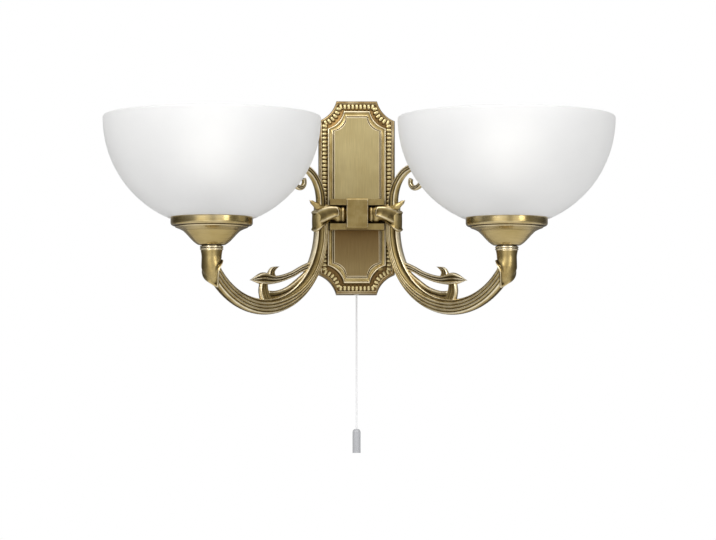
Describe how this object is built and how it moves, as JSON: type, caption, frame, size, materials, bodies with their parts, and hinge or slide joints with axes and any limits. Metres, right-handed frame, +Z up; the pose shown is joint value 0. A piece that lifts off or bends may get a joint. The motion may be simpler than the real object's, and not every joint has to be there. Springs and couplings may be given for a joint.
{
  "type": "double arm wall sconce",
  "caption": "Wall light with a tall brass plate, two curved reeded arms with leaf sprays, open opal glass bowls above turned cups, and a pull switch with a cord and bell.",
  "frame": {"origin": "middle of the two wall screw holes, on the wall plane behind the plate", "axes": "+Y into the wall, +Z up, +X to the right as seen from the room; the lamp stands out towards -Y"},
  "size_m": [0.4, 0.2022, 0.2868],
  "materials": {
    "antique_brass": "cast, brushed and patinated brass with dark recesses",
    "brass_small": "plain turned brass",
    "zinc_steel": "zinc plated steel",
    "spring_steel": "blued spring steel",
    "white_plastic": "white moulded thermoplastic",
    "black_plastic": "black moulded phenolic",
    "lead_sheath": "clear sheathed two-core lead",
    "cord": "light grey braided nylon cord",
    "bell_plastic": "light grey translucent acrylic",
    "opal_glass": "satin white opal glass",
    "bulb_glass": "frosted white bulb glass",
    "bulb_cap": "rolled aluminium thread"
  },
  "bodies": {
    "wall_plate": {"backplate": "antique_brass", "wall_bracket": "zinc_steel", "side_screws": "brass_small", "earth_screw": "brass_small", "arm_saddle": "antique_brass", "centre_block": "antique_brass", "saddle_bolts": "zinc_steel", "left_arm": "antique_brass", "right_arm": "antique_brass", "root_nipples": "brass_small", "root_nuts": "brass_small", "terminal_block": "white_plastic", "terminal_inserts": "brass_small", "terminal_screws": "zinc_steel", "left_arm_lead": "lead_sheath", "right_arm_lead": "lead_sheath", "switch_lead": "lead_sheath", "switch_housing": "black_plastic", "switch_cover": "black_plastic", "switch_screws": "zinc_steel", "return_spring": "spring_steel", "switch_contacts": "brass_small", "cord_bush": "white_plastic", "left_collar": "antique_brass", "left_cup": "antique_brass", "left_cup_nipple": "brass_small", "left_cup_nut": "brass_small", "left_lampholder": "black_plastic", "left_socket_shell": "brass_small", "left_centre_contact": "brass_small", "left_shade_ring": "black_plastic", "left_shade": "opal_glass", "right_collar": "antique_brass", "right_cup": "antique_brass", "right_cup_nipple": "brass_small", "right_cup_nut": "brass_small", "right_lampholder": "black_plastic", "right_socket_shell": "brass_small", "right_centre_contact": "brass_small", "right_shade_ring": "black_plastic", "right_shade": "opal_glass"},
    "cord_slide": {"inner_cord": "cord"},
    "hanging_cord": {"pull_cord": "cord", "cord_knot": "cord", "pull_bell": "bell_plastic"},
    "drum": {"switch_drum": "white_plastic"},
    "left_bulb": {"left_bulb_glass": "bulb_glass", "left_bulb_cap": "bulb_cap"},
    "right_bulb": {"right_bulb_glass": "bulb_glass", "right_bulb_cap": "bulb_cap"}
  },
  "joints": [
    {"name": "cord_pull", "type": "slide", "parent": "wall_plate", "child": "cord_slide", "axis": [0, 0, -1], "range_m": [0, 0.00785], "stiffness_N_per_m": 50, "springref_m": -0.002},
    {"name": "cord_swing", "type": "hinge", "parent": "cord_slide", "child": "hanging_cord", "pos_m": [0, -0.012, -0.0804], "axis": [0, 1, 0], "range_deg": [-60, 60]},
    {"name": "drum_turn", "type": "hinge", "parent": "wall_plate", "child": "drum", "pos_m": [0.005, -0.012, -0.057], "axis": [0, -1, 0], "range_deg": [0, 90]},
    {"name": "left_bulb_screw", "type": "hinge", "parent": "wall_plate", "child": "left_bulb", "pos_m": [-0.11498, -0.11718, 0], "axis": [0, 0, 1], "range_deg": [0, 1080]},
    {"name": "right_bulb_screw", "type": "hinge", "parent": "wall_plate", "child": "right_bulb", "pos_m": [0.11498, -0.11718, 0], "axis": [0, 0, 1], "range_deg": [0, 1080]}
  ],
  "couplings": [
    {"joint": "drum_turn", "follows": "cord_pull", "rad_per_m": 200}
  ]
}
